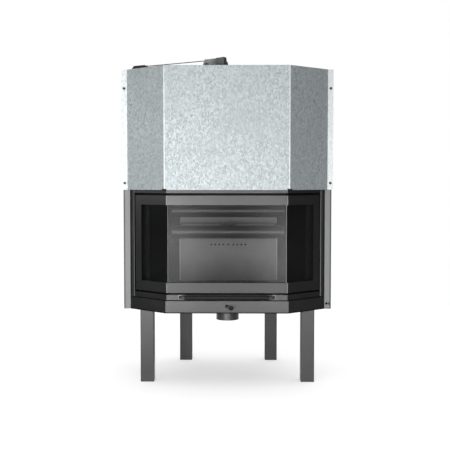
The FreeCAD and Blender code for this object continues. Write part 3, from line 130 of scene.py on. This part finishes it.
def blend_tones(tree, mask, under, over):
    """One tone over another where the mask is 1."""
    mix = tree.nodes.new("ShaderNodeMixRGB")
    mix.inputs["Color2"].default_value = (*over, 1)
    tree.links.new(mask, mix.inputs["Fac"])
    tree.links.new(under, mix.inputs["Color1"])
    return mix.outputs["Color"]


def plain_finish(name, colour, roughness, metallic=0.0, grain=900.0, spread=0.14, bump=0.15, gloss=0.5,
                 fold=None, fold_tone=(0.16, 0.16, 0.16), fold_width=FOLD_HIGHLIGHT_WIDTH, painted_shade_below=None):
    """Paint, plastic or plain metal: slow tone changes and a fine grain.

    A fold is a pair of upright bands of another tone, at plus and minus a place on X; most finishes use it
    for a painted highlight along a fold, some for a painted shadow along an edge.
    Below a height the surface is painted dark and loses its gloss, a painted shade.
    """
    slow_scale, smoother, rougher = 7.0, 0.88, 1.14
    material, tree, shader = new_material(name)
    coords = tree.nodes.new("ShaderNodeTexCoord")
    slow = noise(tree, coords, slow_scale)
    fine = noise(tree, coords, grain, detail=2.0)
    tones = [(NOISE_LOW, shade(colour, 1 - spread)), (NOISE_HIGH, shade(colour, 1 + spread))]
    surface = ramp(tree, slow.outputs["Fac"], tones)
    if fold is not None:
        surface = blend_tones(tree, near_fold(tree, coords, fold, fold_width), surface, fold_tone)
    # Painted shade: darker and without gloss below a height
    if painted_shade_below is not None:
        axes = tree.nodes.new("ShaderNodeSeparateXYZ")
        tree.links.new(coords.outputs["Object"], axes.inputs["Vector"])
        shade_mask = span(tree, axes.outputs["Z"], 1.0, 0.0, painted_shade_below - PAINTED_SHADE_FADE, painted_shade_below)
        surface = blend_tones(tree, shade_mask, surface, PAINTED_SHADE)
        gloss_above_shade = span(tree, axes.outputs["Z"], 0.0, gloss, painted_shade_below - PAINTED_SHADE_FADE, painted_shade_below)
        tree.links.new(gloss_above_shade, shader.inputs["Specular IOR Level"])
    tree.links.new(surface, shader.inputs["Base Color"])
    rough = span(tree, slow.outputs["Fac"], roughness * smoother, min(1.0, roughness * rougher))
    tree.links.new(rough, shader.inputs["Roughness"])
    relief(tree, shader, fine.outputs["Fac"], bump, RELIEF_DEPTH)
    shader.inputs["Metallic"].default_value = metallic
    shader.inputs["Specular IOR Level"].default_value = gloss
    return material


def near_fold(tree, coords, place, width):
    """A mask that is 1 in the two upright bands at plus and minus a place on X."""
    axes = tree.nodes.new("ShaderNodeSeparateXYZ")
    tree.links.new(coords.outputs["Object"], axes.inputs["Vector"])
    previous = axes.outputs["X"]
    for operation, number in (("ABSOLUTE", 0.0), ("SUBTRACT", place), ("ABSOLUTE", 0.0)):
        node = tree.nodes.new("ShaderNodeMath")
        node.operation = operation
        node.inputs[1].default_value = number
        tree.links.new(previous, node.inputs[0])
        previous = node.outputs["Value"]
    return span(tree, previous, 1.0, 0.0, width / 2, width)


def spangle_finish(name, dark, light, fold=None):
    """Hot-dip zinc: small crystals that each take the light differently, with a painted highlight where the
    sheet is bent.
    """
    crystals_per_metre, crystal_relief, middle_place = 150.0, 0.12, 0.45
    rolled, warp_scale, warp_share = (1.25, 1.25, 0.7), 120.0, 0.006
    cloud_scale, cloud_share, cloud_shade = 5.0, 0.55, 0.93
    rough_low, rough_high, metallic = 0.45, 0.62, 0.40
    bend_highlight_tone = (0.80, 0.84, 0.85)
    material, tree, shader = new_material(name)
    coords = tree.nodes.new("ShaderNodeTexCoord")
    drawn = tree.nodes.new("ShaderNodeMapping")
    drawn.inputs["Scale"].default_value = rolled
    tree.links.new(coords.outputs["Object"], drawn.inputs["Vector"])
    warp = noise(tree, coords, warp_scale)
    mix = tree.nodes.new("ShaderNodeMixRGB")
    mix.blend_type = "LINEAR_LIGHT"
    mix.inputs["Fac"].default_value = warp_share
    tree.links.new(drawn.outputs["Vector"], mix.inputs["Color1"])
    tree.links.new(warp.outputs["Color"], mix.inputs["Color2"])
    crystals = tree.nodes.new("ShaderNodeTexVoronoi")
    crystals.inputs["Scale"].default_value = crystals_per_metre
    tree.links.new(mix.outputs["Color"], crystals.inputs["Vector"])
    split = tree.nodes.new("ShaderNodeSeparateColor")
    tree.links.new(crystals.outputs["Color"], split.inputs["Color"])
    middle = tuple((a + b) / 2 for a, b in zip(dark, light))
    tones = ramp(tree, split.outputs["Red"], [(0.0, dark), (middle_place, middle), (1.0, light)])
    clouds = span(tree, noise(tree, coords, cloud_scale).outputs["Fac"], 0.0, cloud_share)
    tones = blend_tones(tree, clouds, tones, shade(middle, cloud_shade))
    if fold is not None:
        tones = blend_tones(tree, near_fold(tree, coords, fold, FOLD_HIGHLIGHT_WIDTH), tones, bend_highlight_tone)
    tree.links.new(tones, shader.inputs["Base Color"])
    rough = span(tree, split.outputs["Green"], rough_low, rough_high, 0.0, 1.0)
    tree.links.new(rough, shader.inputs["Roughness"])
    relief(tree, shader, split.outputs["Blue"], crystal_relief, RELIEF_DEPTH)
    shader.inputs["Metallic"].default_value = metallic
    return material


def glass_finish(name):
    """Fire glass: clear, slightly grey, with a faint film that softens what is behind it."""
    film_dark, film_light = (0.010, 0.0105, 0.011), (0.016, 0.0165, 0.017)
    film_scale, film_relief, film_depth = 6.0, 0.004, 0.0005
    rough_low, rough_high = 0.16, 0.22
    cover, refraction, gloss = 0.22, 1.5, 0.34
    material, tree, shader = new_material(name)
    coords = tree.nodes.new("ShaderNodeTexCoord")
    film = noise(tree, coords, film_scale)
    tones = ramp(tree, film.outputs["Fac"], [(NOISE_LOW, film_dark), (NOISE_HIGH, film_light)])
    tree.links.new(tones, shader.inputs["Base Color"])
    tree.links.new(span(tree, film.outputs["Fac"], rough_low, rough_high), shader.inputs["Roughness"])
    relief(tree, shader, film.outputs["Fac"], film_relief, film_depth)
    shader.inputs["Alpha"].default_value = cover
    shader.inputs["IOR"].default_value = refraction
    shader.inputs["Specular IOR Level"].default_value = gloss
    return material


# One finish for each material slot of the record
charcoal = (0.012, 0.0122, 0.0125)
post_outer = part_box("right_upright")[1].x
zinc_dark, zinc_light = (0.284, 0.316, 0.324), (0.524, 0.566, 0.577)
finishes = {
    "galvanised": spangle_finish("galvanised", zinc_dark, zinc_light),
    # The dark band along each post's outer edge is a painted shadow
    "post_grey": plain_finish("post_grey", (0.185, 0.188, 0.192), 0.45, fold=post_outer,
                              fold_tone=(0.02, 0.02, 0.02), fold_width=0.009),
    "charcoal": plain_finish("charcoal", charcoal, 0.33, gloss=0.57),
    "leg_grey": plain_finish("leg_grey", (0.041, 0.0415, 0.042), 0.40, gloss=0.55),
    "boiler_black": plain_finish("boiler_black", (0.008, 0.008, 0.0082), 0.6, bump=0.25, gloss=0.15),
    "ash_steel": plain_finish("ash_steel", (0.32, 0.32, 0.32), 0.5, 0.8),
    "bright_steel": plain_finish("bright_steel", (0.55, 0.56, 0.57), 0.35, 0.9),
    "grate_iron": plain_finish("grate_iron", (0.04, 0.04, 0.04), 0.75, 0.2, grain=400.0, bump=0.4),
    "glass": glass_finish("glass"),
    "bakelite": plain_finish("bakelite", (0.007, 0.007, 0.0075), 0.5, gloss=0.25),
    "pulley_black": plain_finish("pulley_black", (0.016, 0.016, 0.017), 0.5),
    "gasket_fibre": plain_finish("gasket_fibre", (0.05, 0.05, 0.05), 0.9, bump=0.5),
    "shoe_brass": plain_finish("shoe_brass", (0.55, 0.40, 0.16), 0.4, 0.9),
    "cable_steel": plain_finish("cable_steel", (0.12, 0.12, 0.125), 0.45, 0.7, grain=500.0, bump=0.6),
}


def fold_of(name):
    """Where a folded sheet's flat front ends, on X."""
    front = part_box(name)[0].y
    return max(vertex.co.x for vertex in nodes[name].data.vertices if vertex.co.y < front + TOUCH)


# Nodes whose finish differs in tone from the rest of their slot
hood_fold = fold_of("hood_panel")
plate_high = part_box("back_air_plate")[1]
stile_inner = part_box("carrier_right_stile")[0].x
stile_black = (0.010, 0.010, 0.010)
# The pulley bracket is paler on its left part, this much to either side of that part's middle
pale_half = 0.033
pale_middle = -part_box("centre_pulley_bracket")[0].x - pale_half
# The lug on the baffle is dark, and the lower edge of the base panel is painted dark, a painted shade
baffle_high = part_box("smoke_baffle")[1]
baffle_vertices = nodes["smoke_baffle"].data.vertices
lug_half = max(vertex.co.x for vertex in baffle_vertices if vertex.co.z > baffle_high.z - TOUCH)
base_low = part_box("base_front_panel")[0]
base_dark_edge = 0.008
own_finish = {
    # The hood's zinc carries a painted highlight along each bend
    "hood_panel": spangle_finish("galvanised_hood", zinc_dark, zinc_light, hood_fold),
    "handle_rod": plain_finish("handle_steel", (0.09, 0.09, 0.092), 0.35, 0.7),
    "damper_spindle": plain_finish("spindle_steel", (0.10, 0.10, 0.102), 0.4, 0.7),
    # The leaf pins are painted black so that they read as the shade of their slot
    "leaf_pins": plain_finish("pin_shade_black", (0.006, 0.006, 0.006), 0.7, gloss=0.1),
    "water_tubes": plain_finish("tube_steel", (0.016, 0.016, 0.0165), 0.38, gloss=1.0, bump=0.05),
    # Below the air plate's top the back wall is painted dark, a painted shade behind the plate's holes
    "firebox_back_wall": plain_finish("back_wall_steel", (0.23, 0.23, 0.23), 0.45, painted_shade_below=plate_high.z),
    # Light bands along the air plate's side edges are a painted highlight
    "back_air_plate": plain_finish("air_plate_steel", (0.27, 0.27, 0.27), 0.45, fold=plate_high.x,
                                   fold_tone=(0.60, 0.60, 0.60), fold_width=0.007),
    "air_spigot": plain_finish("spigot_grey", (0.050, 0.051, 0.052), 0.35, gloss=0.8),
    # Light bands along the stiles' inner edges are painted highlights, brighter on the right stile
    "carrier_left_stile": plain_finish("charcoal_left", stile_black, 0.55, gloss=0.2, fold=stile_inner,
                                       fold_tone=(0.13, 0.13, 0.13)),
    "carrier_right_stile": plain_finish("charcoal_right", stile_black, 0.55, gloss=0.2, fold=stile_inner,
                                        fold_tone=(0.20, 0.20, 0.20)),
    "centre_pulley_bracket": plain_finish("bracket_steel", (0.10, 0.102, 0.104), 0.5, 0.3, fold=pale_middle,
                                          fold_tone=(0.30, 0.305, 0.31), fold_width=2 * pale_half),
    # Light bands along the rails' folds are painted highlights
    "leaf_top_rail": plain_finish("charcoal_top", charcoal, 0.32, gloss=0.58, fold=fold_of("leaf_top_rail")),
    "leaf_bottom_rail": plain_finish("charcoal_low", charcoal, 0.34, gloss=0.50,
                                     fold=fold_of("leaf_bottom_rail")),
    "frame_bolts": plain_finish("bolt_dark", (0.05, 0.05, 0.052), 0.5, 0.6),
    "smoke_baffle": plain_finish("baffle_steel", (0.22, 0.22, 0.22), 0.5, gloss=0.3, fold=lug_half / 2,
                                 fold_tone=(0.006, 0.006, 0.006), fold_width=lug_half),
    # The base panel's lower edge is painted dark, a painted shade
    "base_front_panel": plain_finish("charcoal_base", charcoal, 0.33, gloss=0.68,
                                     painted_shade_below=base_low.z + base_dark_edge),
}
# The rear legs get a darker copy of the leg paint, a painted shade
for name in ("rear_left_leg", "rear_right_leg"):
    own_finish[name] = plain_finish("leg_shaded_" + name, (0.031, 0.0314, 0.032), 0.42, gloss=0.45)
jacket_finish = plain_finish("jacket_grey", (0.072, 0.0725, 0.074), 0.5, bump=0.25, spread=0.2)
for name in ("jacket_left_plate", "jacket_right_plate", "jacket_back_plate", "boiler_top_plate",
             "flue_collar"):
    own_finish[name] = jacket_finish
own_finish["pulley_axles"] = own_finish["frame_bolts"]
for entry in frame["record"]["subparts"]:
    node = nodes[entry["node"]]
    node.data.materials.clear()
    node.data.materials.append(own_finish.get(entry["node"], finishes[entry["material_slot"]]))


def dress_faces(name, finish, chosen):
    """A second finish on the faces of one piece that a test picks out."""
    mesh = nodes[name].data
    mesh.materials.append(finish)
    for face in mesh.polygons:
        if chosen(face):
            face.material_index = 1


# The hood's flanges lie flat against the uprights and get a lighter copy of the zinc, painted light
flange_lit_finish = spangle_finish("galvanised_lit_flange", (0.55, 0.58, 0.585), (0.72, 0.75, 0.755))
flange_start = hood_fold + 0.01
dress_faces("hood_panel", flange_lit_finish,
            lambda face: face.normal.y < -FLAT and abs(face.center.x) > flange_start)

# The top of the smoke baffle, not its small lug, gets a light tone, painted light on a face that the lamps
# barely reach
lit_top_finish = plain_finish("baffle_top_lit", (0.55, 0.55, 0.54), 0.9)
lug_top_area = 0.01
dress_faces("smoke_baffle", lit_top_finish, lambda face: face.normal.z > FLAT and face.area > lug_top_area)

# The panes' ground edges scatter light where they meet
edge_finish = plain_finish("ground_glass", (0.60, 0.61, 0.61), 0.7)
sideways = 0.85
for name in ("front_pane", "left_pane", "right_pane"):
    dress_faces(name, edge_finish, lambda face: abs(face.normal.x) > sideways)

# The tracks inside the uprights are painted dark, a painted shade in the gap beside the door
track_shade_finish = plain_finish("track_shade", (0.010, 0.010, 0.010), 0.6, gloss=0.15)
track_reach = min(abs(corner.x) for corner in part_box("base_front_panel")) + TOUCH
for name in ("left_upright", "right_upright"):
    dress_faces(name, track_shade_finish, lambda face: abs(face.center.x) < track_reach)

# Folded and cut edges of the sheet are slightly rounded, so that they catch the light
edge_widths = {
    0.0006: ["hood_panel", "left_upright", "right_upright", "counterweight_guide", "centre_pulley_bracket",
             "left_pulley_bracket", "pane_gasket"],
    0.0009: ["base_front_panel", "carrier_top_rail", "carrier_bottom_rail", "carrier_left_stile",
             "carrier_right_stile", "leaf_top_rail", "leaf_bottom_rail", "leaf_left_stile",
             "leaf_right_stile"],
}
least_angle = math.radians(30)
for width, names in edge_widths.items():
    for name in names:
        bevel = nodes[name].modifiers.new("edge", "BEVEL")
        bevel.width = width
        bevel.segments = 2
        bevel.limit_method = "ANGLE"
        bevel.angle_limit = least_angle
        bevel.harden_normals = True


# Cable drops: straight pieces of cable in place of the door's and the weight's drops; on the boiler the
# door's drop shortens as the door rises and the weight's drop grows

def cable_piece(name, node):
    """A straight piece of cable in place of a node, and that node's two corners."""
    cable_sides, side_corners = 16, 4
    low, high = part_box(node)
    mesh = bpy.data.meshes.new(name)
    shape = bmesh.new()
    radius = (high.x - low.x) / 2
    length = high.z - low.z
    bmesh.ops.create_cone(shape, cap_ends=True, segments=cable_sides, radius1=radius, radius2=radius,
                          depth=length)
    middle = (low + high) / 2
    bmesh.ops.translate(shape, verts=shape.verts, vec=middle)
    shape.to_mesh(mesh)
    shape.free()
    for face in mesh.polygons:
        face.use_smooth = len(face.vertices) == side_corners
    mesh.materials.append(finishes["cable_steel"])
    piece = bpy.data.objects.new(name, mesh)
    scene.collection.objects.link(piece)
    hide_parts(node)
    return piece, low, high


door_run, run_low, run_high = cable_piece("door_cable_drop", "lift_cable_door_run")
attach(door_run, "frame")
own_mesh(door_run)
weight_run, drop_low, drop_high = cable_piece("weight_cable_drop", "lift_cable_weight_run")
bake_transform(weight_run)


# Floor and light

def area_light(name, place, target, size, power):
    """A panel of light at a place, turned to a target; size is width and height, power is in watts."""
    data = bpy.data.lights.new(name, "AREA")
    data.shape = "RECTANGLE"
    data.size, data.size_y = size
    data.energy = power
    light = bpy.data.objects.new(name, data)
    light.location = place
    light.rotation_euler = (Vector(target) - Vector(place)).to_track_quat("-Z", "Y").to_euler()
    scene.collection.objects.link(light)


# The floor takes shadows. A lift for the camera alone makes it as white as the photo's ground
floor_reach, floor_tone, floor_roughness, floor_lift = 2.4, 0.50, 0.9, 0.57
corner_signs = ((-1, -1), (1, -1), (1, 1), (-1, 1))
floor_corners = [(across * floor_reach, along * floor_reach, 0) for across, along in corner_signs]
floor_mesh = bpy.data.meshes.new("floor")
floor_mesh.from_pydata(floor_corners, [], [(0, 1, 2, 3)])
floor = bpy.data.objects.new("floor", floor_mesh)
scene.collection.objects.link(floor)
floor_material, floor_tree, floor_shader = new_material("floor_white")
floor_shader.inputs["Base Color"].default_value = (floor_tone, floor_tone, floor_tone, 1)
floor_shader.inputs["Roughness"].default_value = floor_roughness
seen = floor_tree.nodes.new("ShaderNodeLightPath")
lift_white = floor_tree.nodes.new("ShaderNodeMath")
lift_white.operation = "MULTIPLY"
lift_white.inputs[1].default_value = floor_lift
floor_tree.links.new(seen.outputs["Is Camera Ray"], lift_white.inputs[0])
floor_shader.inputs["Emission Color"].default_value = (1, 1, 1, 1)
floor_tree.links.new(lift_white.outputs["Value"], floor_shader.inputs["Emission Strength"])
floor_mesh.materials.append(floor_material)
# Mirrored in the glass, the floor would fill it with grain
floor.visible_glossy = False

# The camera sees a white ground; the part is lit by a much weaker sky
sky_tone, sky_strength = (0.97, 0.99, 1.0, 1), 0.12
world = bpy.data.worlds.new("studio")
scene.world = world
world.use_nodes = True
sky = world.node_tree
ground = sky.nodes["Background"]
ground.inputs["Color"].default_value = sky_tone
ground.inputs["Strength"].default_value = sky_strength
white = sky.nodes.new("ShaderNodeBackground")
white.inputs["Color"].default_value = (1, 1, 1, 1)
white.inputs["Strength"].default_value = 1.0
rays = sky.nodes.new("ShaderNodeLightPath")
choose = sky.nodes.new("ShaderNodeMixShader")


def sky_math(operation, first, second):
    """Two values of the world joined by one operation."""
    node = sky.nodes.new("ShaderNodeMath")
    node.operation = operation
    sky.links.new(first, node.inputs[0])
    sky.links.new(second, node.inputs[1])
    return node.outputs["Value"]


# Metal and glass mirror the white ground too, where it stands behind the part
behind_start, behind_full = 0.4, 0.7
directions = sky.nodes.new("ShaderNodeTexCoord")
sky_axes = sky.nodes.new("ShaderNodeSeparateXYZ")
sky.links.new(directions.outputs["Generated"], sky_axes.inputs["Vector"])
behind = span(sky, sky_axes.outputs["Y"], 0.0, 1.0, behind_start, behind_full)
mirrored = sky_math("MAXIMUM", rays.outputs["Is Glossy Ray"], rays.outputs["Is Transmission Ray"])
white_share = sky_math("MAXIMUM", rays.outputs["Is Camera Ray"], sky_math("MULTIPLY", mirrored, behind))
sky.links.new(white_share, choose.inputs["Fac"])
sky.links.new(ground.outputs["Background"], choose.inputs[1])
sky.links.new(white.outputs["Background"], choose.inputs[2])
sky.links.new(choose.outputs["Shader"], sky.nodes["World Output"].inputs["Surface"])

# The front panels stand apart, so that the middle of the glass mirrors the dark gap between them
area_light("front_light_left", (-1.28, -5.1, 1.0), (-1.13, 0, 0.95), (1.74, 1.9), 88)
area_light("front_light_right", (0.67, -5.1, 1.0), (0.67, 0, 0.95), (0.56, 1.9), 29)
area_light("low_light_left", (-0.955, -3.2, 0.36), (-0.955, 0, 0.45), (1.29, 0.64), 24)
area_light("low_light_right", (0.68, -3.2, 0.36), (0.68, 0, 0.45), (0.75, 0.64), 16)
area_light("left_light", (-3.2, -4.0, 2.0), (-0.4, 0, 1.0), (1.6, 1.6), 32)
area_light("side_light", (-3.5, -0.6, 1.45), (-0.3, -0.2, 1.0), (1.2, 0.7), 9)

# Soft light from nearly straight above
sun_strength, sun_angle = 2.4, math.radians(80)
sun_tilt = (math.radians(-6), math.radians(4), 0)
sun_data = bpy.data.lights.new("top_light", "SUN")
sun_data.energy = sun_strength
sun_data.angle = sun_angle
sun = bpy.data.objects.new("top_light", sun_data)
sun.rotation_euler = sun_tilt
scene.collection.objects.link(sun)


# Camera, fitted to the photo's straight edges

focal_px, picture_px, shift_px, sensor_mm, far_end = 842.8, 450.0, -3.0, 36.0, 200
camera_x, camera_distance, camera_height = 0.0514, 4.2381, 1.0516
pitch, yaw = 0.0525, -0.0109
camera_data = bpy.data.cameras.new("camera")
camera_data.sensor_width = sensor_mm
camera_data.lens = sensor_mm * focal_px / picture_px
camera_data.shift_x = shift_px / picture_px
camera_data.clip_end = far_end
camera = bpy.data.objects.new("camera", camera_data)
camera.location = (camera_x, base_low.y - camera_distance, camera_height)
level = math.cos(pitch)
forward = Vector((math.sin(yaw) * level, math.cos(yaw) * level, -math.sin(pitch)))
camera.rotation_euler = forward.to_track_quat("-Z", "Y").to_euler()
scene.collection.objects.link(camera)
scene.camera = camera
scene.view_settings.view_transform = "Standard"
